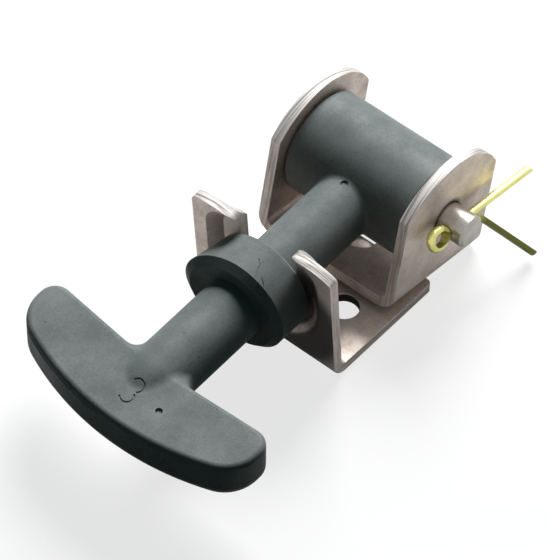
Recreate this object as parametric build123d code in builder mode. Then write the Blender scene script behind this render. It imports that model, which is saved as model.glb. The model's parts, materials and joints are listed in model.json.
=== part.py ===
from build123d import *
from math import asin, atan2, cos, degrees, radians, sin, sqrt
import os

os.makedirs("parts", exist_ok=True)

# Rubber T draw latch: a rubber T-handle turns on a pin in a stainless clevis bracket
# and hooks into the open fork of a stainless keeper.
# Frame: origin on the keeper's underside, midway between its two screw holes.
# +X runs from the T grip to the pivot, +Y to the pin's head, +Z up.

# Sheet metal
plate = 2.0
bend_radius = 1.5
sheet_width = 30.0

# Keeper: a flat foot with its front end bent up into a fork
foot_rear = 14.2
foot_corner = 1.0
fork_front = 12.1
fork_lean = 6.0
fork_height = 27.0
tip_crown = 1.2
tip_rise = 0.6
tip_corner = 0.8
slot_width = 12.1
slot_height = 15.9
slot_mouth_round = 1.2
dish_radius = 9.8
dish_slope = 2.4
dish_depth = 1.8
dish_top = 9.8
dish_top_round = 3.0
keeper_hole = 5.5
keeper_hole_spacing = 14.0

# Clevis bracket: a floor with two ears, leaning back off the keeper's rear edge
bracket_overhang = 12.9
ear_front = 11.8
ear_rear = 12.7
ear_corner_height = 20.3
ear_top_height = 27.0
ear_corner = 0.9
pin_height = 15.2
bracket_hole = 6.5
bracket_hole_front = 9.8

# Clevis pin with a domed head
pin_diameter = 6.0
pin_clearance = 0.08
head_diameter = 9.4
head_edge = 0.8
head_height = 2.6
head_gap = 0.1
pin_end = 5.5
pin_chamfer = 0.5
cross_hole = 2.1

# Split cotter pin of half-round wire
cotter_diameter = 1.8
cotter_gap = 0.05
cotter_offset = 2.4
cotter_drop = 9.5
cotter_roll = 26.0
eye_gap = 0.15
eye_length = 4.1
eye_width = 3.0
neck_round = 0.9
straight_leg = 20.2
leg_bend_gap = 1.7
bent_leg = 18.6
leg_bend = 49.0
leg_bend_radius = 3.5

# Rubber handle, measured along its stem from the pin, drawn tight so that its barrel
# lies off the pin's axis by barrel_pull
barrel_diameter = 19.4
barrel_gap = 0.3
barrel_pull = 0.6
barrel_bevel = 0.7
bore_clearance = 0.05
stem_diameter = 11.4
stem_root_round = 1.2
stem_grip_round = 3.0
collar_diameter = 19.0
collar_seat = 0.3
collar_length = 8.2
collar_front_bevel = 1.3
collar_rear_bevel = 0.5
grip_front = 71.0
grip_depth = 13.1
grip_half_width = 24.8
grip_bow = 6.1
grip_sweep = 2.0
grip_tip_front_round = 7.5
grip_tip_rear_round = 3.2
grip_thickness = 8.8
grip_top_round = 1.0
grip_bottom_round = 3.0
stem_fade = 9.0

# Where the bracket lies: its floor rests on the keeper's rear edge and its own rear edge
bracket_lean = asin(plate / bracket_overhang)
bracket_along = Vector(cos(bracket_lean), 0, -sin(bracket_lean))
bracket_up = Vector(sin(bracket_lean), 0, cos(bracket_lean))
bracket_heel = Vector(foot_rear + sqrt(bracket_overhang**2 - plate**2), 0, 0)
pivot = bracket_heel - bracket_along * ear_rear + bracket_up * pin_height
ear_side = Plane(origin=pivot, x_dir=bracket_along, z_dir=(0, -1, 0))
bracket_front = Plane(
    origin=pivot - bracket_along * ear_front, x_dir=(0, 1, 0), z_dir=bracket_along
)
bracket_floor = Plane(
    origin=pivot - bracket_up * pin_height, x_dir=bracket_along, z_dir=bracket_up
)
pin_section = Plane(origin=pivot, x_dir=(1, 0, 0), z_dir=(0, 0, 1))
pin_axis = Axis(pivot, (0, 1, 0))
ear_inside = sheet_width / 2 - plate

# Where the fork stands: its face towards the grip, leaning forwards from the foot
lean = radians(fork_lean)
fork_face = Plane(
    origin=(-fork_front, 0, 0), x_dir=(0, -1, 0), z_dir=(-cos(lean), 0, -sin(lean))
)

# Where the handle lies: its stem runs from the pin to the middle of the slot
slot_middle = fork_face.from_local_coords(Vector(0, slot_height, -(dish_depth + plate) / 2))
stem_reach = pivot - slot_middle
droop = atan2(stem_reach.Z, stem_reach.X)
handle_along = Vector(-cos(droop), 0, -sin(droop))
handle_up = Vector(-sin(droop), 0, cos(droop))
handle_plan = Plane(origin=pivot, x_dir=handle_along, z_dir=handle_up)
stem_axis = Axis(pivot, handle_along)
barrel_middle = pivot + handle_along * barrel_pull
barrel_side = Plane(origin=barrel_middle, x_dir=bracket_along, z_dir=(0, -1, 0))

# The collar's rear face clears the dish where its upper edge comes nearest
collar_edge = slot_height + collar_diameter / 2
dish_floor_high = fork_face.from_local_coords(Vector(0, collar_edge, -dish_depth))
collar_rear = (dish_floor_high - pivot).dot(handle_along) + collar_seat
collar_front = collar_rear + collar_length

# The cotter pin lies across the pin's end, its bent leg down and outwards
drop = radians(cotter_drop)
roll = radians(cotter_roll)
cotter_along = Vector(cos(drop), 0, -sin(drop))
cotter_down = Vector(-sin(drop), 0, -cos(drop)) * cos(roll) + Vector(0, -sin(roll), 0)
cotter_middle = pivot - Vector(0, sheet_width / 2 + cotter_offset, 0)
cotter_plan = Plane(
    origin=cotter_middle,
    x_dir=cotter_along,
    z_dir=cotter_along.cross(cotter_down),
)
cotter_end = Plane(origin=cotter_middle, z_dir=cotter_along)


def dish(depth):
    """A tapered pan whose floor lies at depth below the fork's face."""
    with BuildPart(mode=Mode.PRIVATE) as pan:
        with BuildSketch(fork_face.offset(-depth)) as outline:
            with Locations((0, slot_height)):
                Circle(dish_radius)
                with Locations((0, dish_top / 2)):
                    Rectangle(2 * dish_radius, dish_top)
            fillet(outline.vertices().group_by(Axis.Y)[-1], dish_top_round)
        extrude(amount=dish_depth, taper=-degrees(atan2(dish_slope, dish_depth)))
    return pan.part


# Keeper: one bent sheet, dished round the slot to seat the collar
fork_top = fork_height + tip_crown
fork_tip = (-fork_front - 2 * fork_top * sin(lean), 2 * fork_top * cos(lean))
with BuildPart() as keeper_plate:
    with BuildSketch(Plane.XZ):
        with BuildLine():
            FilletPolyline(
                (foot_rear, 0), (-fork_front, 0), fork_tip, radius=bend_radius + plate
            )
            offset(amount=plate, side=Side.RIGHT)
        make_face()
    extrude(amount=sheet_width / 2, both=True)
    add(dish(plate + dish_depth))
    add(dish(dish_depth), mode=Mode.SUBTRACT)
    with BuildSketch(fork_face) as waste:
        with BuildLine():
            outer = Polyline(
                (-sheet_width / 2, fork_height),
                (-sheet_width / 2, 2 * fork_top),
                (sheet_width / 2, 2 * fork_top),
                (sheet_width / 2, fork_height),
            )
            inner = fork_height + tip_rise
            mid = (sheet_width / 2 + slot_width / 2) / 2
            ThreePointArc(outer @ 1, (mid, fork_top), (slot_width / 2, inner))
            Line((slot_width / 2, inner), (-slot_width / 2, inner))
            ThreePointArc((-slot_width / 2, inner), (-mid, fork_top), outer @ 0)
        make_face()
        with Locations((0, slot_height)):
            Circle(slot_width / 2)
            Rectangle(slot_width, fork_height, align=(Align.CENTER, Align.MIN))
    extrude(amount=4 * plate, both=True, mode=Mode.SUBTRACT)
    fork_edges = keeper_plate.edges().filter_by(Axis((0, 0, 0), fork_face.z_dir))
    tips = fork_edges.filter_by_position(Axis.Z, (slot_height + fork_height) / 2, 2 * fork_height)
    corners = tips.sort_by(lambda edge: abs(edge.center().Y))
    fillet(corners[:2], slot_mouth_round)
    fillet(corners[-2:], tip_corner)
    foot_corners = keeper_plate.edges().filter_by(Axis.Z).group_by(Axis.X)[-1]
    fillet(foot_corners, foot_corner)
    with Locations((0, 0, plate)):
        with GridLocations(0, keeper_hole_spacing, 1, 2):
            Hole(keeper_hole / 2)

# Clevis bracket: one bent sheet, its two ears rounded over at the top
with BuildPart() as clevis_bracket:
    with BuildSketch(bracket_front):
        with BuildLine():
            ear_top = ear_top_height - pin_height
            FilletPolyline(
                (sheet_width / 2, ear_top),
                (sheet_width / 2, -pin_height),
                (-sheet_width / 2, -pin_height),
                (-sheet_width / 2, ear_top),
                radius=bend_radius + plate,
            )
            offset(amount=plate, side=Side.RIGHT)
        make_face()
    extrude(amount=ear_front + ear_rear)
    with BuildSketch(ear_side) as ear_outline:
        with BuildLine():
            ear_corner_up = ear_corner_height - pin_height
            sides = Polyline(
                (ear_rear, ear_corner_up),
                (ear_rear, -pin_height),
                (-ear_front, -pin_height),
                (-ear_front, ear_corner_up),
            )
            ear_middle = (ear_rear - ear_front) / 2
            ThreePointArc(sides @ 1, (ear_middle, ear_top), sides @ 0)
        make_face()
        fillet(ear_outline.vertices().group_by(Axis.Y)[-1], ear_corner)
    extrude(amount=sheet_width, both=True, mode=Mode.INTERSECT)
    with BuildSketch(ear_side):
        Circle(pin_diameter / 2 + pin_clearance)
    extrude(amount=sheet_width, both=True, mode=Mode.SUBTRACT)
    with BuildSketch(bracket_floor):
        with Locations((bracket_hole_front - ear_front, 0)):
            Circle(bracket_hole / 2)
    extrude(amount=2 * plate, both=True, mode=Mode.SUBTRACT)

# Clevis pin: domed head against the far ear, chamfered end past the near one
with BuildPart() as clevis_pin:
    with BuildSketch(pin_section):
        with BuildLine():
            pin_radius = pin_diameter / 2
            pin_tip = -sheet_width / 2 - pin_end
            under_head = sheet_width / 2 + head_gap
            shank = Polyline(
                (0, pin_tip),
                (pin_radius - pin_chamfer, pin_tip),
                (pin_radius, pin_tip + pin_chamfer),
                (pin_radius, under_head),
                (head_diameter / 2, under_head),
                (head_diameter / 2, under_head + head_edge),
            )
            dome_rise = head_height - head_edge
            dome_radius = (head_diameter**2 / 4 + dome_rise**2) / (2 * dome_rise)
            crown = (0, under_head + head_height)
            dome = RadiusArc(shank @ 1, crown, -dome_radius)
            Line(crown, (0, pin_tip))
        make_face()
    revolve(axis=pin_axis)
    with BuildSketch(cotter_end):
        Circle(cross_hole / 2)
    extrude(amount=pin_diameter, both=True, mode=Mode.SUBTRACT)

# Cotter pin: half-round wire folded into an eye, one leg bent back to hold it
with BuildPart() as cotter_pin:
    with BuildLine(cotter_plan) as cotter_path:
        half_gap = cotter_gap / 2
        eye_neck = pin_diameter / 2 + eye_gap
        eye_round = 0.4 * eye_width
        leg_bend_start = pin_diameter / 2 + leg_bend_gap
        bend = radians(leg_bend)
        FilletPolyline(
            (straight_leg, -half_gap),
            (-eye_neck, -half_gap),
            (-eye_neck - eye_length / 3, -eye_width / 2),
            (-eye_neck - eye_length, -eye_width / 2),
            (-eye_neck - eye_length, eye_width / 2),
            (-eye_neck - eye_length / 3, eye_width / 2),
            (-eye_neck, half_gap),
            (leg_bend_start, half_gap),
            (leg_bend_start + bent_leg * cos(bend), half_gap + bent_leg * sin(bend)),
            radius=[neck_round, *[eye_round] * 4, neck_round, leg_bend_radius],
        )
    leg_start = Plane(
        origin=cotter_path.line @ 0, x_dir=cotter_plan.y_dir, z_dir=cotter_path.line % 0
    )
    with BuildSketch(leg_start):
        Circle(cotter_diameter / 2)
        Rectangle(
            cotter_diameter,
            cotter_diameter,
            align=(Align.MIN, Align.CENTER),
            mode=Mode.SUBTRACT,
        )
    sweep()

# Rubber handle: barrel round the pin, stem, collar and T grip moulded in one
with BuildPart() as rubber_handle:
    with BuildSketch(handle_plan.offset(-grip_thickness / 2)) as grip_outline:
        with BuildLine():
            grip_rear = grip_front - grip_depth
            ends_front = grip_front - grip_bow
            ends_rear = grip_rear - grip_sweep
            front = ThreePointArc(
                (ends_front, grip_half_width), (grip_front, 0), (ends_front, -grip_half_width)
            )
            Polyline(
                front @ 1,
                (ends_rear, -grip_half_width),
                (grip_rear, 0),
                (ends_rear, grip_half_width),
                front @ 0,
            )
        make_face()
        fillet(grip_outline.vertices().group_by(Axis.X)[-1], grip_tip_front_round)
        fillet(grip_outline.vertices().group_by(Axis.X)[0], grip_tip_rear_round)
    extrude(amount=grip_thickness)
    fillet(rubber_handle.faces().sort_by(Axis.Z)[-1].edges(), grip_top_round)
    fillet(rubber_handle.faces().sort_by(Axis.Z)[0].edges(), grip_bottom_round)
    with BuildSketch(handle_plan):
        with BuildLine():
            stem_radius = stem_diameter / 2
            collar_radius = collar_diameter / 2
            neck = Line((0, stem_radius), (collar_rear, stem_radius))
            Polyline(
                neck @ 1,
                (collar_rear, collar_radius - collar_rear_bevel),
                (collar_rear + collar_rear_bevel, collar_radius),
                (collar_front - collar_front_bevel, collar_radius),
                (collar_front, collar_radius - collar_front_bevel),
                (collar_front, stem_radius),
                (grip_rear, stem_radius),
            )
            fade = EllipticalCenterArc((grip_rear, 0), stem_fade, stem_radius)
            Polyline(fade @ 0, (0, 0), neck @ 0)
        make_face()
    revolve(axis=stem_axis)
    joint = rubber_handle.edges(Select.LAST)
    joint = joint.filter_by_position(stem_axis, grip_rear - stem_radius, grip_rear + grip_top_round)
    fillet(
        joint.filter_by(lambda edge: stem_radius / 4 < abs(edge.center().Y) < stem_radius),
        stem_grip_round,
    )
    with BuildSketch(barrel_side):
        Circle(barrel_diameter / 2)
    extrude(amount=ear_inside - barrel_gap, both=True)
    chamfer(rubber_handle.faces(Select.LAST).filter_by(Axis.Y).edges(), barrel_bevel)
    fillet(rubber_handle.edges().filter_by(GeomType.BSPLINE).sort_by(Axis.X)[-1], stem_root_round)
    with BuildSketch(ear_side):
        Circle(pin_diameter / 2 + bore_clearance)
    extrude(amount=ear_inside, both=True, mode=Mode.SUBTRACT)

keeper_plate.part.label = "keeper_plate"
clevis_bracket.part.label = "clevis_bracket"
clevis_pin.part.label = "clevis_pin"
cotter_pin.part.label = "cotter_pin"
rubber_handle.part.label = "rubber_handle"
export_step(keeper_plate.part, "parts/keeper_plate.step")
export_step(clevis_bracket.part, "parts/clevis_bracket.step")
export_step(clevis_pin.part, "parts/clevis_pin.step")
export_step(cotter_pin.part, "parts/cotter_pin.step")
export_step(rubber_handle.part, "parts/rubber_handle.step")
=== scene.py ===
import json
from math import atan2, cos, degrees, radians, sin

import bmesh
import bpy
from mathutils import Matrix, Vector
from mathutils.bvhtree import BVHTree


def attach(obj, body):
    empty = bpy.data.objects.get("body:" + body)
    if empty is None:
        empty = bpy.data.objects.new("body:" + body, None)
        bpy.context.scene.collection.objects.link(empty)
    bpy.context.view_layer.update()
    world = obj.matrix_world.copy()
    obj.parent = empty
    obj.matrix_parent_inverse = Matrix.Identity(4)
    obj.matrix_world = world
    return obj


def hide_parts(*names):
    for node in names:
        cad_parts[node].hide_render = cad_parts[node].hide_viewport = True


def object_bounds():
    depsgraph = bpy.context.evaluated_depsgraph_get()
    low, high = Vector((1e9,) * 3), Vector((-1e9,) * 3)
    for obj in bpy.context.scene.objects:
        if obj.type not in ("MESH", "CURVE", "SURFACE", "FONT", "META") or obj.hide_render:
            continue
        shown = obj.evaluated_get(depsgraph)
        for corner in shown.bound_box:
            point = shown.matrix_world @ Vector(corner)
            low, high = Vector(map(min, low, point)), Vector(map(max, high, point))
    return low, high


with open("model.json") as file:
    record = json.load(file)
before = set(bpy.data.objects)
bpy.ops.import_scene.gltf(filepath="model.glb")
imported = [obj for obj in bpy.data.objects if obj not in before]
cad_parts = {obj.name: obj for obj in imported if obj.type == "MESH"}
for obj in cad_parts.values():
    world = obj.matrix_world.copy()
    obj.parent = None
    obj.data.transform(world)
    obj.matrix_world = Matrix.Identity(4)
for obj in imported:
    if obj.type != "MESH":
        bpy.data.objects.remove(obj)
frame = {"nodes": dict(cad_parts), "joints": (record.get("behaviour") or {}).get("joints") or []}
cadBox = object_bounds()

scene = bpy.context.scene
mm = 0.001
nodes = frame["nodes"]
pivot = Vector(next(joint["pos_m"] for joint in frame["joints"] if joint["name"] == "handle_swing"))
print("frame loaded, pivot at", [round(v / mm, 2) for v in pivot])


def plug(tree, node, inputs):
    # an input that is given a socket is linked to it, and any other value is set
    for name, value in inputs.items():
        if isinstance(value, bpy.types.NodeSocket):
            tree.links.new(value, node.inputs[name])
        else:
            node.inputs[name].default_value = value


def addNode(tree, kind, inputs, **settings):
    node = tree.nodes.new(kind)
    for name, value in settings.items():
        setattr(node, name, value)
    plug(tree, node, inputs)
    return node


def addSockets(tree, way, sockets):
    for name, kind in sockets.items():
        tree.interface.new_socket(name, in_out=way, socket_type="NodeSocket" + kind)


def calculated(tree, operation, *values):
    return addNode(tree, "ShaderNodeMath", dict(enumerate(values)), operation=operation).outputs["Value"]


def calculatedVector(tree, operation, *values):
    node = addNode(tree, "ShaderNodeVectorMath", dict(enumerate(values)), operation=operation)
    return node.outputs["Value" if operation == "LENGTH" else "Vector"]


def ranged(tree, value, low, high, kind="LINEAR"):
    # 0 at low and 1 at high, which may be the smaller of the two
    inputs = {"Value": value, "From Min": low, "From Max": high}
    return addNode(tree, "ShaderNodeMapRange", inputs, interpolation_type=kind).outputs["Result"]


def mixed(tree, factor, first, second, kind="RGBA"):
    inputs = {"Factor": factor, "A": first, "B": second}
    return addNode(tree, "ShaderNodeMix", inputs, data_type=kind).outputs["Result"]


def noise(tree, place, scale, detail, roughness):
    inputs = {"Vector": place, "Scale": scale, "Detail": detail, "Roughness": roughness}
    return addNode(tree, "ShaderNodeTexNoise", inputs).outputs["Fac"]


def attributeOf(tree, name, output="Fac"):
    return addNode(tree, "ShaderNodeAttribute", {}, attribute_name=name).outputs[output]


def axesOf(tree, vector):
    return addNode(tree, "ShaderNodeSeparateXYZ", {"Vector": vector}).outputs


def reachFrom(tree, place, middle, axes=(1.0, 1.0, 1.0)):
    # how far a place lies from a middle, counted along the axes that are 1
    shift = [-at * axis for at, axis in zip(middle, axes)]
    return calculatedVector(tree, "LENGTH", calculatedVector(tree, "MULTIPLY_ADD", place, axes, shift))


grain = {"blotchDetail": 4.0, "blotchRoughness": 0.6, "speckDetail": 3.0, "speckRoughness": 0.7,
         "speckShare": 0.6, "darkFrom": 0.62, "darkTo": 0.98}


def makeSurfaceGrain(look):
    # a fine speckle over slow blotches: tints a colour, varies a roughness, gives a height
    group = bpy.data.node_groups.new("surfaceGrain", "ShaderNodeTree")
    addSockets(group, "INPUT", {"Color": "Color", "Dark": "Color", "Blotch": "Float", "Blotch Scale": "Float",
                                "Speck Scale": "Float", "Roughness": "Float", "Roughness Spread": "Float"})
    addSockets(group, "OUTPUT", {"Color": "Color", "Roughness": "Float", "Height": "Float"})
    given = group.nodes.new("NodeGroupInput").outputs
    place = group.nodes.new("ShaderNodeTexCoord").outputs["Object"]
    blotch = noise(group, place, given["Blotch Scale"], look["blotchDetail"], look["blotchRoughness"])
    speck = noise(group, place, given["Speck Scale"], look["speckDetail"], look["speckRoughness"])
    both = calculated(group, "MULTIPLY_ADD", speck, look["speckShare"], blotch)
    darkness = ranged(group, both, look["darkFrom"], look["darkTo"])
    share = calculated(group, "MULTIPLY", darkness, given["Blotch"])
    roughness = calculated(group, "MULTIPLY_ADD", darkness, given["Roughness Spread"], given["Roughness"])
    tinted = mixed(group, share, given["Color"], given["Dark"])
    addNode(group, "NodeGroupOutput", {"Color": tinted, "Roughness": roughness, "Height": speck})
    return group


surfaceGrain = makeSurfaceGrain(grain)


def newMaterial(name, fixed):
    material = bpy.data.materials.new(name)
    material.use_nodes = True
    shader = material.node_tree.nodes["Principled BSDF"]
    plug(material.node_tree, shader, fixed)
    return material, material.node_tree, shader


def grained(tree, look):
    # the shared grain with a finish's own values
    keys = {"Color": "colour", "Dark": "dark", "Blotch": "blotch", "Blotch Scale": "blotchScale",
            "Speck Scale": "speckScale", "Roughness": "roughness", "Roughness Spread": "spread"}
    values = {socket: look[key] for socket, key in keys.items()}
    return addNode(tree, "ShaderNodeGroup", values, node_tree=surfaceGrain).outputs


def bumped(tree, height, look):
    inputs = {"Height": height, "Strength": look["bump"], "Distance": look["bumpDepth"]}
    return addNode(tree, "ShaderNodeBump", inputs).outputs["Normal"]


rubber = {"colour": (0.148, 0.164, 0.161, 1), "dark": (0.088, 0.104, 0.102, 1), "blotch": 0.8,
          "blotchScale": 140.0, "speckScale": 2600.0, "roughness": 0.40, "spread": 0.14, "specular": 0.06,
          "bump": 0.3, "bumpDepth": 0.08 * mm,
          "pit": (0.018, 0.023, 0.023, 1), "pitScale": 1500.0, "pitDetail": 2.0, "pitFrom": 0.69,
          "pitTo": 0.76, "patchScale": 110.0, "patchDetail": 1.0, "patchFrom": 0.50, "patchTo": 0.62,
          "noiseRoughness": 0.5}


def makeSlateRubber(look):
    # dull moulded rubber, mottled, with pits that lie in patches
    material, tree, shader = newMaterial("slateRubber", {"Specular IOR Level": look["specular"]})
    speck = grained(tree, look)
    place = tree.nodes.new("ShaderNodeTexCoord").outputs["Object"]
    pits = noise(tree, place, look["pitScale"], look["pitDetail"], look["noiseRoughness"])
    patches = noise(tree, place, look["patchScale"], look["patchDetail"], look["noiseRoughness"])
    pitted = calculated(tree, "MULTIPLY", ranged(tree, pits, look["pitFrom"], look["pitTo"]),
                        ranged(tree, patches, look["patchFrom"], look["patchTo"]))
    relief = calculated(tree, "SUBTRACT", speck["Height"], pitted)
    plug(tree, shader, {"Base Color": mixed(tree, pitted, speck["Color"], look["pit"]),
                        "Roughness": speck["Roughness"], "Normal": bumped(tree, relief, look)})
    return material


slateRubber = makeSlateRubber(rubber)

# of the colours below, the one for the fork round the collar and the one for holes and round the pin are
# painted shade
steel = {"colour": (0.585, 0.508, 0.462, 1), "dark": (0.38, 0.32, 0.285, 1), "blotch": 0.9,
         "blotchScale": 170.0, "speckScale": 2200.0, "roughness": 0.48, "spread": 0.12, "bump": 0.35,
         "bumpDepth": 0.06 * mm,
         "edge": (0.40, 0.39, 0.38, 1), "edgeDark": (0.17, 0.155, 0.145, 1), "edgeRoughness": 0.70,
         "streakScale": 2400.0, "streakDetail": 3.0, "streakRoughness": 0.65, "streakStretch": 0.05,
         "streakFrom": 0.45, "streakTo": 0.60, "burr": 2.0,
         "collarShade": (0.075, 0.066, 0.060, 1), "collarShadeMiddle": Vector((-13.0, -5.0, 12.0)) * mm,
         "collarShadeFrom": 15.0 * mm, "collarShadeTo": 11.0 * mm, "collarShadeRagged": 2.0 * mm,
         "turnedFrom": -0.1, "turnedTo": -0.6,
         "seatHeight": 15.0 * mm, "ringRadius": 10.4 * mm, "ringFrom": 0.3 * mm, "ringTo": 0.9 * mm,
         "ringTopFrom": 13.0 * mm, "ringTopTo": 18.0 * mm,
         "paintedShadeColour": (0.03, 0.026, 0.024, 1), "pinShadeFrom": 4.1 * mm, "pinShadeTo": 3.05 * mm}


def streakNoise(tree, place, look):
    # streaks that run along a cut edge: fine across the sheet, drawn out every other way
    across = attributeOf(tree, "acrossSheet", "Vector")
    drawnOut = calculatedVector(tree, "MULTIPLY_ADD", place, [look["streakStretch"]] * 3, across)
    return noise(tree, drawnOut, look["streakScale"], look["streakDetail"], look["streakRoughness"])


def paintedCollarShade(tree, place, normal, height, look):
    # painted shade on the fork's side towards the grip round the collar, standing for the collar's shadow and
    # dark reflection; a ring low down is left unshaded as a painted highlight
    reach = reachFrom(tree, place, look["collarShadeMiddle"])
    ragged = calculated(tree, "MULTIPLY_ADD", height, look["collarShadeRagged"], reach)
    near = ranged(tree, ragged, look["collarShadeFrom"], look["collarShadeTo"], "SMOOTHSTEP")
    gripSide = ranged(tree, axesOf(tree, normal)["X"], look["turnedFrom"], look["turnedTo"])
    fromSeat = reachFrom(tree, place, (0.0, 0.0, look["seatHeight"]), (0.0, 1.0, 1.0))
    offRing = calculated(tree, "ABSOLUTE", calculated(tree, "SUBTRACT", fromSeat, look["ringRadius"]))
    clearOfRing = ranged(tree, offRing, look["ringFrom"], look["ringTo"], "SMOOTHSTEP")
    aboveRing = ranged(tree, axesOf(tree, place)["Z"], look["ringTopFrom"], look["ringTopTo"])
    offHighlightRing = calculated(tree, "MAXIMUM", clearOfRing, aboveRing)
    return calculated(tree, "MULTIPLY", calculated(tree, "MULTIPLY", near, gripSide), offHighlightRing)


def makeStainlessSheet(look):
    # blotched sheet with bright streaked cut edges, a painted rim tone where they face up, and painted shade
    # in its holes and round the pin
    material, tree, shader = newMaterial("stainlessSheet", {"Metallic": 1.0})
    speck = grained(tree, look)
    coordinates = tree.nodes.new("ShaderNodeTexCoord").outputs
    place = coordinates["Object"]
    # the cut-edge mark also carries a painted rim tone that grows where a face turns up
    cutEdgeWithPaintedRim = attributeOf(tree, "cutEdgeWithPaintedRim")
    streaks = streakNoise(tree, place, look)
    streaked = ranged(tree, streaks, look["streakFrom"], look["streakTo"])
    colour = mixed(tree, cutEdgeWithPaintedRim, speck["Color"], mixed(tree, streaked, look["edge"], look["edgeDark"]))
    # painted shade from the collar on the fork's side towards the grip
    collarShaded = paintedCollarShade(tree, place, coordinates["Normal"], speck["Height"], look)
    colour = mixed(tree, collarShaded, colour, look["collarShade"])
    # painted shade on the sheet in a ring round the pin, where it passes through the hole
    fromPin = reachFrom(tree, place, pivot, (1.0, 0.0, 1.0))
    pinShade = ranged(tree, fromPin, look["pinShadeFrom"], look["pinShadeTo"], "SMOOTHSTEP")
    paintedShade = calculated(tree, "MAXIMUM", pinShade, attributeOf(tree, "paintedShade"))
    burr = calculated(tree, "MULTIPLY", streaks, cutEdgeWithPaintedRim)
    height = calculated(tree, "MULTIPLY_ADD", burr, look["burr"], speck["Height"])
    plug(tree, shader, {"Base Color": mixed(tree, paintedShade, colour, look["paintedShadeColour"]),
                        "Roughness": mixed(tree, cutEdgeWithPaintedRim, speck["Roughness"], look["edgeRoughness"], "FLOAT"),
                        "Normal": bumped(tree, height, look)})
    return material


stainlessSheet = makeStainlessSheet(steel)

pinFinish = {"colour": (0.46, 0.435, 0.40, 1), "dark": (0.28, 0.26, 0.24, 1), "blotch": 0.6,
             "blotchScale": 300.0, "speckScale": 2500.0, "roughness": 0.28, "spread": 0.1, "bump": 0.15,
             "bumpDepth": 0.04 * mm, "sharp": 32.0}


def makeTurnedSteel(look):
    material, tree, shader = newMaterial("turnedSteel", {"Metallic": 1.0})
    speck = grained(tree, look)
    plug(tree, shader, {"Base Color": speck["Color"], "Roughness": speck["Roughness"],
                        "Normal": bumped(tree, speck["Height"], look)})
    return material


turnedSteel = makeTurnedSteel(pinFinish)

# the dark colour for the bent leg below is painted shade
zinc = {"colour": (0.80, 0.78, 0.30, 1), "dark": (0.58, 0.57, 0.16, 1), "blotch": 0.8, "blotchScale": 520.0,
        "speckScale": 2500.0, "roughness": 0.26, "spread": 0.15, "metallic": 0.85, "bump": 0.15,
        "bumpDepth": 0.04 * mm, "legShade": (0.13, 0.13, 0.02, 1), "legShadeFrom": 0.66, "legShadeTo": 0.74}


def makeYellowZinc(look):
    # chromated zinc, with painted shade on the bent leg from a place along the wire onwards, standing for
    # that leg's dark reflection
    material, tree, shader = newMaterial("yellowZinc", {"Metallic": look["metallic"]})
    speck = grained(tree, look)
    # painted shade on the bent leg
    legShaded = ranged(tree, attributeOf(tree, "alongWire"), look["legShadeFrom"], look["legShadeTo"])
    plug(tree, shader, {"Base Color": mixed(tree, legShaded, speck["Color"], look["legShade"]),
                        "Roughness": speck["Roughness"], "Normal": bumped(tree, speck["Height"], look)})
    return material


yellowZinc = makeYellowZinc(zinc)
print("materials made")


def skinTree(mesh):
    return BVHTree.FromPolygons([v.co for v in mesh.vertices], [p.vertices for p in mesh.polygons])


def shadeByAngle(skin, angle):
    for face in skin.faces:
        face.smooth = True
    for edge in skin.edges:
        edge.smooth = len(edge.link_faces) == 2 and edge.calc_face_angle(0) < radians(angle)


def dropCustomNormals(mesh):
    for layer in list(mesh.attributes):
        if layer.name.startswith("custom_normal"):
            mesh.attributes.remove(layer)


def applyModifiers(piece):
    shaped = bpy.data.meshes.new_from_object(piece.evaluated_get(bpy.context.evaluated_depsgraph_get()))
    piece.modifiers.clear()
    piece.data = shaped


def newPiece(name, mesh, material=None):
    if material:
        mesh.materials.append(material)
    piece = bpy.data.objects.new(name, mesh)
    scene.collection.objects.link(piece)
    return piece


copying = {"weld": 0.002 * mm, "sliver": 0.001 * mm, "flatWithin": 0.2, "bevelSteps": 2}


def dressedCopy(nodeName, pieceName, material, sharp, edgeRound=0.0, splitAt=None):
    # a copy of a solid with its edges rounded, split level at a height where one is given
    mesh = nodes[nodeName].data.copy()
    mesh.materials.clear()
    shell = bmesh.new()
    shell.from_mesh(mesh)
    bmesh.ops.remove_doubles(shell, verts=shell.verts, dist=copying["weld"])
    bmesh.ops.dissolve_degenerate(shell, edges=shell.edges, dist=copying["sliver"])
    if edgeRound:
        bmesh.ops.dissolve_limit(shell, angle_limit=radians(copying["flatWithin"]), verts=shell.verts,
                                 edges=shell.edges, use_dissolve_boundaries=False)
    if splitAt:
        everything = shell.verts[:] + shell.edges[:] + shell.faces[:]
        bmesh.ops.bisect_plane(shell, geom=everything, plane_co=(0, 0, splitAt), plane_no=(0, 0, 1))
    shadeByAngle(shell, sharp)
    shell.to_mesh(mesh)
    shell.free()
    dropCustomNormals(mesh)
    piece = newPiece(pieceName, mesh, material)
    if edgeRound:
        bevel = piece.modifiers.new("edgeRound", "BEVEL")
        bevel.width = edgeRound
        bevel.segments = copying["bevelSteps"]
        bevel.limit_method = "ANGLE"
        bevel.angle_limit = radians(sharp)
        bevel.harden_normals = True
        applyModifiers(piece)
    return piece


# the rim tone grows on cut faces as they turn up: a painted tone set by facing
sheets = {"thickness": 2.0 * mm, "sharp": 32.0, "edgeRound": 0.22 * mm, "uprightFrom": 3.6 * mm,
          "forkLean": 6.0, "bracketLean": 8.92, "holeSpan": 8.0 * mm, "crownFrom": 20.0 * mm,
          "crownTurned": 0.5, "thin": 0.3, "deep": 1.7, "probe": 0.02, "sideEdgeShare": 0.45, "rimToneGain": 1.6}


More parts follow.
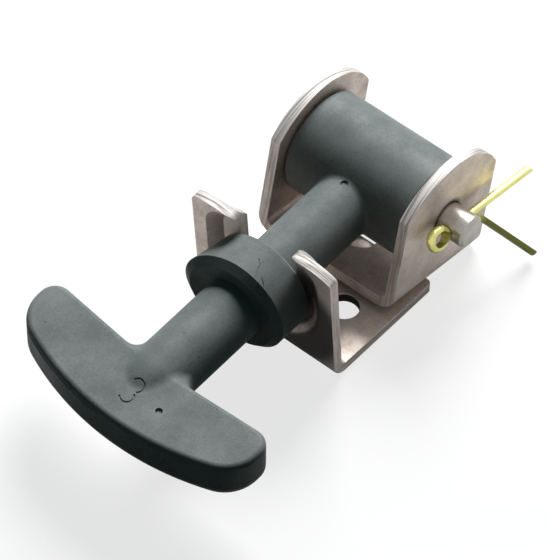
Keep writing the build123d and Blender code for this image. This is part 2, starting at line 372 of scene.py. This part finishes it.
def cutArea(mesh, tree, step, shape):
    # each face's area from which the sheet is much deeper, or much shallower, than it is thick
    cut = [0.0] * len(mesh.polygons)
    mesh.calc_loop_triangles()
    for triangle in mesh.loop_triangles:
        normal = mesh.polygons[triangle.polygon_index].normal
        middle = sum((mesh.vertices[i].co for i in triangle.vertices), Vector()) / 3
        depth = tree.ray_cast(middle - normal * step, -normal)[3] or 0.0
        if not shape["thin"] <= depth / shape["thickness"] <= shape["deep"]:
            cut[triangle.polygon_index] += triangle.area
    return cut


def markCutEdgesAndPaintedShade(piece, shape, facing):
    # cut faces are bright, and more of the edge finish is painted on where they face up, a painted rim tone
    # set by facing; faces high up that turn up count as cut;
    # cut faces that look across a hole get painted shade; acrossSheet runs through the sheet's thickness
    mesh = piece.data
    tree = skinTree(mesh)
    step = shape["thickness"] * shape["probe"]  # starts each ray just off the skin
    cut = cutArea(mesh, tree, step, shape)
    cutEdgeWithPaintedRim = mesh.attributes.new("cutEdgeWithPaintedRim", "FLOAT", "FACE")
    paintedShade = mesh.attributes.new("paintedShade", "FLOAT", "FACE")
    across = mesh.attributes.new("acrossSheet", "FLOAT_VECTOR", "CORNER")
    for polygon in mesh.polygons:
        index, normal, middle = polygon.index, polygon.normal, polygon.center
        crown = normal.z > shape["crownTurned"] and middle.z > shape["crownFrom"]
        if crown or cut[index] > polygon.area / 2:
            # painted rim tone: the more a face turns up, the more of the edge finish it takes
            paintedRimTone = min(max(normal.z * shape["rimToneGain"], 0.0), 1.0)
            cutEdgeWithPaintedRim.data[index].value = shape["sideEdgeShare"] + (1 - shape["sideEdgeShare"]) * paintedRimTone
            # painted shade on a cut face that looks across a hole at the sheet
            opposite = tree.ray_cast(middle + normal * step, normal, shape["holeSpan"])
            paintedShade.data[index].value = opposite[0] is not None
        through = facing["upright"] if middle.z > shape["uprightFrom"] else facing["flat"]
        for corner in polygon.loop_indices:
            place = mesh.vertices[mesh.loops[corner].vertex_index].co.dot(through)
            across.data[corner].vector = (abs(place), 0.0, 0.0)


fork, lying = radians(sheets["forkLean"]), radians(sheets["bracketLean"])
facings = {"keeper_plate": {"upright": Vector((cos(fork), 0, sin(fork))), "flat": Vector((0, 0, 1))},
           "clevis_bracket": {"upright": Vector((0, 1, 0)), "flat": Vector((sin(lying), 0, cos(lying)))}}
for nodeName, pieceName in (("keeper_plate", "keeperSheet"), ("clevis_bracket", "clevisSheet")):
    sheet = dressedCopy(nodeName, pieceName, stainlessSheet, sheets["sharp"], sheets["edgeRound"],
                        sheets["uprightFrom"])
    markCutEdgesAndPaintedShade(sheet, sheets, facings[nodeName])
    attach(sheet, "bracket")
    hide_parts(nodeName)
    print(pieceName, len(sheet.data.polygons), "faces")

handleShape = {"droop": 1.948, "edgeRound": 0.35 * mm, "sharp": 26.0, "stemRadius": 5.7 * mm,
               "collarRadius": 9.5 * mm, "collarRear": 29.7 * mm, "collarFront": 37.95 * mm,
               "bulgeOut": 1.5 * mm, "bulgeForward": 1.3 * mm, "bulgeAngle": 8.0, "bulgeSpread": 80.0,
               "bendFrom": 40.0 * mm, "bendTo": 56.0 * mm, "yaw": 2.4, "offStem": 1.01}
droop = radians(handleShape["droop"])
stemAlong = Vector((-cos(droop), 0, -sin(droop)))
stemUp = Vector((-sin(droop), 0, cos(droop)))


def handlePoint(along, across, up):
    # a place along, across and above the stem from the pivot, in millimetres
    return pivot + (stemAlong * along + Vector((0, across, 0)) + stemUp * up) * mm


def smooth(value, low, high):
    t = min(max((value - low) / (high - low), 0.0), 1.0)
    return t * t * (3 - 2 * t)


def keepInFront(mesh):
    # no skin passes the front of the solids' box
    for vertex in mesh.vertices:
        vertex.co.x = max(vertex.co.x, cadBox[0][0])


def pulledIn(mesh, shape):
    # the far side of the collar swells over the fork's arm, and the grip is pulled a little askew
    for vertex in mesh.vertices:
        reach = vertex.co - pivot
        along, side, high = reach.dot(stemAlong), reach.y, reach.dot(stemUp)
        radius = (side * side + high * high) ** 0.5
        onCollar = shape["collarRear"] < along < shape["collarFront"]
        if onCollar and radius > shape["offStem"] * shape["stemRadius"]:  # the stem itself stays round
            turn = abs(degrees(atan2(high, side)) - shape["bulgeAngle"])
            share = (radius - shape["stemRadius"]) / (shape["collarRadius"] - shape["stemRadius"])
            swell = (1 - smooth(turn, 0.0, shape["bulgeSpread"])) * min(share, 1.0)
            swell *= smooth(along, shape["collarRear"], shape["collarFront"])
            outward = (Vector((0, side, 0)) + stemUp * high) / radius
            vertex.co += (outward * shape["bulgeOut"] + stemAlong * shape["bulgeForward"]) * swell
        askew = radians(shape["yaw"]) * smooth(along, shape["bendFrom"], shape["bendTo"])
        vertex.co -= stemAlong * side * sin(askew)
    keepInFront(mesh)


# places are along and across the stem in millimetres; a pip is a place, its radius and its depth
marks = {"lineRadius": 0.20 * mm, "nickRadius": 0.11 * mm, "sharp": 38.0, "weld": 0.004 * mm,
         "sliver": 0.003 * mm,
         "figurePlace": (64.6, -0.7), "figureBowl": 1.25, "outerEnd": 150, "innerEnd": 55, "bowlSteps": 9,
         "pips": [(64.8, -6.7, 0.75, 0.42), (9.3, 0.0, 0.85, 0.35)], "pipFoot": 0.7, "pipSegments": 24,
         "nicks": [((34.3, -2.2), (36.2, -3.1)), ((35.5, -3.8), (36.4, -5.1)), ((33.2, -1.3), (34.1, -2.3))]}


def figurePaths(shape):
    # a plain figure three in two bowls that stop just short of each other, its foot towards the grip's front
    u, v = shape["figurePlace"]
    bowl, steps, paths = shape["figureBowl"], shape["bowlSteps"], []
    outer, inner = shape["outerEnd"], shape["innerEnd"]
    for middle, first, last in ((bowl, outer, -inner), (-bowl, inner, -outer)):
        angles = [radians(first + (last - first) * i / steps) for i in range(steps + 1)]
        paths.append([(u - middle - bowl * sin(a), v - bowl * cos(a)) for a in angles])
    return paths


clearOff = {"above": 50.0, "front": 100.0}  # where rays start, outside the handle, in millimetres


def laidOnTop(tree, along, across):
    # the place and the outward direction of the handle's upper skin
    return tree.ray_cast(handlePoint(along, across, clearOff["above"]), -stemUp)[:2]


def laidOnFront(tree, across, up):
    return tree.ray_cast(handlePoint(clearOff["front"], across, up), -stemAlong)[0]


def tubeMesh(path, radius):
    curve = bpy.data.curves.new("markLine", "CURVE")
    curve.dimensions = "3D"
    curve.bevel_depth = radius
    curve.bevel_resolution = 2
    curve.use_fill_caps = True
    line = curve.splines.new("POLY")
    line.points.add(len(path) - 1)
    for point, place in zip(line.points, path):
        point.co = (*place, 1.0)
    holder = bpy.data.objects.new("markLine", curve)
    scene.collection.objects.link(holder)
    tube = bpy.data.meshes.new_from_object(holder.evaluated_get(bpy.context.evaluated_depsgraph_get()))
    bpy.data.objects.remove(holder)
    return tube


def markCutters(piece, shape):
    # the tubes and drills that the marks are cut with, as one mesh
    tree = skinTree(piece.data)
    cutters = bmesh.new()
    lines = [(bowl, shape["lineRadius"]) for bowl in figurePaths(shape)]
    lines += [(nick, shape["nickRadius"]) for nick in shape["nicks"]]
    for path, radius in lines:
        cutters.from_mesh(tubeMesh([laidOnTop(tree, *place)[0] for place in path], radius))
    for along, across, radius, depth in shape["pips"]:
        middle, outward = laidOnTop(tree, along, across)
        drill = Matrix.Translation(middle) @ outward.to_track_quat("Z", "Y").to_matrix().to_4x4()
        bmesh.ops.create_cone(cutters, cap_ends=True, segments=shape["pipSegments"], depth=2 * depth * mm,
                              radius1=radius * shape["pipFoot"] * mm, radius2=radius * mm, matrix=drill)
    bmesh.ops.recalc_face_normals(cutters, faces=cutters.faces)
    mesh = bpy.data.meshes.new("markCutters")
    cutters.to_mesh(mesh)
    cutters.free()
    return mesh


def cutMarks(piece, shape):
    # moulding marks and nicks are cut into the skin, then its normals are weighted anew
    tool = newPiece("markCutters", markCutters(piece, shape), piece.data.materials[0])
    cut = piece.modifiers.new("marks", "BOOLEAN")
    cut.object = tool
    cut.operation = "DIFFERENCE"
    cut.solver = "EXACT"
    cut.use_self = True
    applyModifiers(piece)
    bpy.data.objects.remove(tool)
    dropCustomNormals(piece.data)
    skin = bmesh.new()
    skin.from_mesh(piece.data)
    bmesh.ops.remove_doubles(skin, verts=skin.verts, dist=shape["weld"])
    bmesh.ops.dissolve_degenerate(skin, edges=skin.edges, dist=shape["sliver"])
    bmesh.ops.triangulate(skin, faces=[face for face in skin.faces if len(face.verts) > 4])
    bmesh.ops.recalc_face_normals(skin, faces=skin.faces)
    shadeByAngle(skin, shape["sharp"])
    skin.to_mesh(piece.data)
    skin.free()
    weigh = piece.modifiers.new("weightedNormals", "WEIGHTED_NORMAL")
    weigh.keep_sharp = True
    applyModifiers(piece)


bead = {"radius": 0.20 * mm, "up": 3.0, "halfSpan": 21.0, "steps": 28, "sunk": 0.08 * mm}

handle = dressedCopy("rubber_handle", "rubberHandle", slateRubber, handleShape["sharp"],
                     handleShape["edgeRound"])
pulledIn(handle.data, handleShape)
plainSkin = skinTree(handle.data)
beadSides = [bead["halfSpan"] * (2 * i / bead["steps"] - 1) for i in range(bead["steps"] + 1)]
beadLine = [laidOnFront(plainSkin, side, bead["up"]) - stemAlong * bead["sunk"] for side in beadSides]
cutMarks(handle, marks)
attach(handle, "handle")
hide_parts("rubber_handle")
print("handle marked,", len(handle.data.polygons), "faces")

beadMesh = tubeMesh(beadLine, bead["radius"])
keepInFront(beadMesh)
partingBead = newPiece("partingBead", beadMesh, slateRubber)
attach(partingBead, "handle")

pin = dressedCopy("clevis_pin", "clevisPin", turnedSteel, pinFinish["sharp"])
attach(pin, "pin")
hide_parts("clevis_pin")
print("parting bead laid, pin dressed")

# lengths in millimetres, but for the wire's radius, and angles in degrees
cotterShape = {"wireRadius": 0.9 * mm, "arcSteps": 10, "cornerSteps": 8, "sharp": 40.0, "drop": 9.5,
               "roll": 26.0, "middle": (0, -17.4, 0), "halfGap": 0.025, "straightLeg": 20.2, "eyeNeck": 3.15,
               "eyeLength": 4.1, "eyeWidth": 2.5, "bendAt": 4.7, "bentLeg": 18.6, "bend": 49.0,
               "neckTurn": 0.9, "eyeTurn": 1.2, "legTurn": 3.5}


def cotterPath(shape):
    # the folded wire's corners in its own plane, and how widely each is turned
    gap, neck, wide = shape["halfGap"], shape["eyeNeck"], shape["eyeWidth"] / 2
    waist, end, bend = neck + shape["eyeLength"] / 3, neck + shape["eyeLength"], radians(shape["bend"])
    neckTurn, eyeTurn, legTurn = shape["neckTurn"], shape["eyeTurn"], shape["legTurn"]
    corners = [(shape["straightLeg"], -gap, 0.0), (-neck, -gap, neckTurn), (-waist, -wide, eyeTurn),
               (-end, -wide, eyeTurn), (-end, wide, eyeTurn), (-waist, wide, eyeTurn), (-neck, gap, neckTurn),
               (shape["bendAt"], gap, legTurn),
               (shape["bendAt"] + shape["bentLeg"] * cos(bend), gap + shape["bentLeg"] * sin(bend), 0.0)]
    drop, roll = radians(shape["drop"]), radians(shape["roll"])
    along = Vector((cos(drop), 0, -sin(drop)))
    down = Vector((-sin(drop), 0, -cos(drop))) * cos(roll) + Vector((0, -sin(roll), 0))
    middle = pivot + Vector(shape["middle"]) * mm
    places = [middle + (along * x + down * y) * mm for x, y, turn in corners]
    return places, [turn * mm for x, y, turn in corners], along.cross(down)


def wireTree(material):
    # half-round wire laid along a path whose corners are rounded by its turn attribute
    tree = bpy.data.node_groups.new("halfRoundWire", "GeometryNodeTree")
    addSockets(tree, "INPUT", {"Geometry": "Geometry", "Wire Radius": "Float", "Arc Steps": "Int",
                               "Corner Steps": "Int", "Plane Normal": "Vector"})
    addSockets(tree, "OUTPUT", {"Geometry": "Geometry"})
    given = tree.nodes.new("NodeGroupInput").outputs
    path = addNode(tree, "GeometryNodeMeshToCurve", {"Mesh": given["Geometry"]})
    turn = addNode(tree, "GeometryNodeInputNamedAttribute", {"Name": "turn"}, data_type="FLOAT")
    rounded = addNode(tree, "GeometryNodeFilletCurve", {
        "Curve": path.outputs["Curve"], "Radius": turn.outputs["Attribute"], "Count": given["Corner Steps"],
        "Limit Radius": True,
    }, mode="POLY")
    upright = addNode(tree, "GeometryNodeSetCurveNormal", {
        "Curve": rounded.outputs["Curve"], "Normal": given["Plane Normal"],
    }, mode="FREE")
    along = tree.nodes.new("GeometryNodeSplineParameter").outputs["Factor"]
    stored = addNode(tree, "GeometryNodeStoreNamedAttribute", {
        "Geometry": upright.outputs["Curve"], "Name": "alongWire", "Value": along,
    }, data_type="FLOAT", domain="POINT")
    section = addNode(tree, "GeometryNodeCurveArc", {
        "Start Angle": radians(180), "Sweep Angle": radians(180), "Connect Center": True,
        "Radius": given["Wire Radius"], "Resolution": given["Arc Steps"],
    })
    skin = addNode(tree, "GeometryNodeCurveToMesh", {
        "Curve": stored.outputs["Geometry"], "Profile Curve": section.outputs["Curve"], "Fill Caps": True,
    })
    real = addNode(tree, "GeometryNodeRealizeInstances", {"Geometry": skin.outputs["Mesh"]})
    coated = addNode(tree, "GeometryNodeSetMaterial", {
        "Geometry": real.outputs["Geometry"], "Material": material,
    })
    addNode(tree, "NodeGroupOutput", {"Geometry": coated.outputs["Geometry"]})
    return tree


def setInput(modifier, name, value):
    items = modifier.node_group.interface.items_tree
    socket = next(item for item in items if item.name == name and item.in_out == "INPUT")
    modifier[socket.identifier] = value


places, turns, planeNormal = cotterPath(cotterShape)
pathMesh = bpy.data.meshes.new("cotterWire")
pathMesh.from_pydata(places, [(i, i + 1) for i in range(len(places) - 1)], [])
pathMesh.attributes.new("turn", "FLOAT", "POINT").data.foreach_set("value", turns)
cotter = newPiece("cotterWire", pathMesh)
laid = cotter.modifiers.new("wire", "NODES")
laid.node_group = wireTree(yellowZinc)
setInput(laid, "Wire Radius", cotterShape["wireRadius"])
setInput(laid, "Arc Steps", cotterShape["arcSteps"])
setInput(laid, "Corner Steps", cotterShape["cornerSteps"])
setInput(laid, "Plane Normal", planeNormal)
applyModifiers(cotter)
tidied = bmesh.new()
tidied.from_mesh(cotter.data)
bmesh.ops.recalc_face_normals(tidied, faces=tidied.faces)
shadeByAngle(tidied, cotterShape["sharp"])
tidied.to_mesh(cotter.data)
tidied.free()
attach(cotter, "pin")
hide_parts("cotter_pin")
print("cotter bent,", len(cotter.data.polygons), "faces")

studio = {"floorHalf": 1.2, "floorGap": 0.02 * mm, "floorRoughness": 0.9, "bounce": 0.04, "cameraShade": 0.18,
          "cameraGlow": 0.76, "mirrorShade": 0.50, "mirrorGlow": 0.15, "backdrop": (1.0, 1.0, 1.0, 1),
          "room": (0.007, 0.042, 0.036, 1)}


def rayMasks(tree):
    # one mask for what the camera sees, one for what shines back from or through the object
    path = tree.nodes.new("ShaderNodeLightPath").outputs
    mirrored = calculated(tree, "MAXIMUM", path["Is Glossy Ray"], path["Is Transmission Ray"])
    return path["Is Camera Ray"], mirrored


def weighed(tree, masks, weights, rest):
    total = rest
    for mask, weight in zip(masks, weights):
        total = calculated(tree, "MULTIPLY_ADD", mask, weight, total)
    return total


def makePaperFloor(look):
    # pale to the camera, but dark to the light that bounces back onto the object
    material, tree, shader = newMaterial("paperFloor", {
        "Roughness": look["floorRoughness"], "Specular IOR Level": 0.0, "Emission Color": look["backdrop"],
    })
    masks = rayMasks(tree)
    shades = [look[key] - look["bounce"] for key in ("cameraShade", "mirrorShade")]
    glow = weighed(tree, masks, (look["cameraGlow"], look["mirrorGlow"]), 0.0)
    plug(tree, shader, {"Base Color": weighed(tree, masks, shades, look["bounce"]),
                        "Emission Strength": glow})
    return material


def makeWorld(look):
    world = bpy.data.worlds.new("studio")
    world.use_nodes = True
    tree = world.node_tree
    seen = weighed(tree, rayMasks(tree), (1.0, 1.0), 0.0)
    plug(tree, tree.nodes["Background"], {"Color": mixed(tree, seen, look["room"], look["backdrop"])})
    return world


half = studio["floorHalf"]
floorCorners = [(-half, -half, 0), (half, -half, 0), (half, half, 0), (-half, half, 0)]
floorMesh = bpy.data.meshes.new("floor")
floorMesh.from_pydata(floorCorners, [], [(0, 1, 2, 3)])
floor = newPiece("floor", floorMesh, makePaperFloor(studio))
floor.location.z = cadBox[0][2] - studio["floorGap"]
scene.world = makeWorld(studio)


def seenFrom(azimuth, elevation):
    # the direction back to someone who looks from there; azimuth 0 looks along +Y
    a, e = radians(azimuth), radians(elevation)
    return Vector((sin(a) * cos(e), -cos(a) * cos(e), sin(e)))


softbox = {"size": 0.5, "power": 17.6, "azimuth": 117, "elevation": 44, "distance": 0.9}
lamp = bpy.data.lights.new("softbox", "AREA")
lamp.shape = "DISK"
lamp.size = softbox["size"]
lamp.energy = softbox["power"]
back = seenFrom(softbox["azimuth"], softbox["elevation"])
light = bpy.data.objects.new("softbox", lamp)
scene.collection.objects.link(light)
light.location = back * softbox["distance"]
light.rotation_euler = back.to_track_quat("Z", "Y").to_euler()

view = {"azimuth": -52.07, "elevation": 50.35, "roll": 2.58, "distance": 0.7611, "lens": 290.0,
        "sensor": 36.0, "lookAt": Vector((-9.13, 0.0, 11.77)) * mm}
camera = bpy.data.objects.new("camera", bpy.data.cameras.new("camera"))
scene.collection.objects.link(camera)
camera.data.lens = view["lens"]
camera.data.sensor_width = view["sensor"]
back = seenFrom(view["azimuth"], view["elevation"])
right = Vector((cos(radians(view["azimuth"])), sin(radians(view["azimuth"])), 0.0))
turned = Matrix((right, back.cross(right), back)).transposed().to_4x4()
turned @= Matrix.Rotation(radians(view["roll"]), 4, "Z")
camera.matrix_world = Matrix.Translation(view["lookAt"] + back * view["distance"]) @ turned
scene.camera = camera
scene.view_settings.view_transform = "Standard"
print("stage, light and camera set")
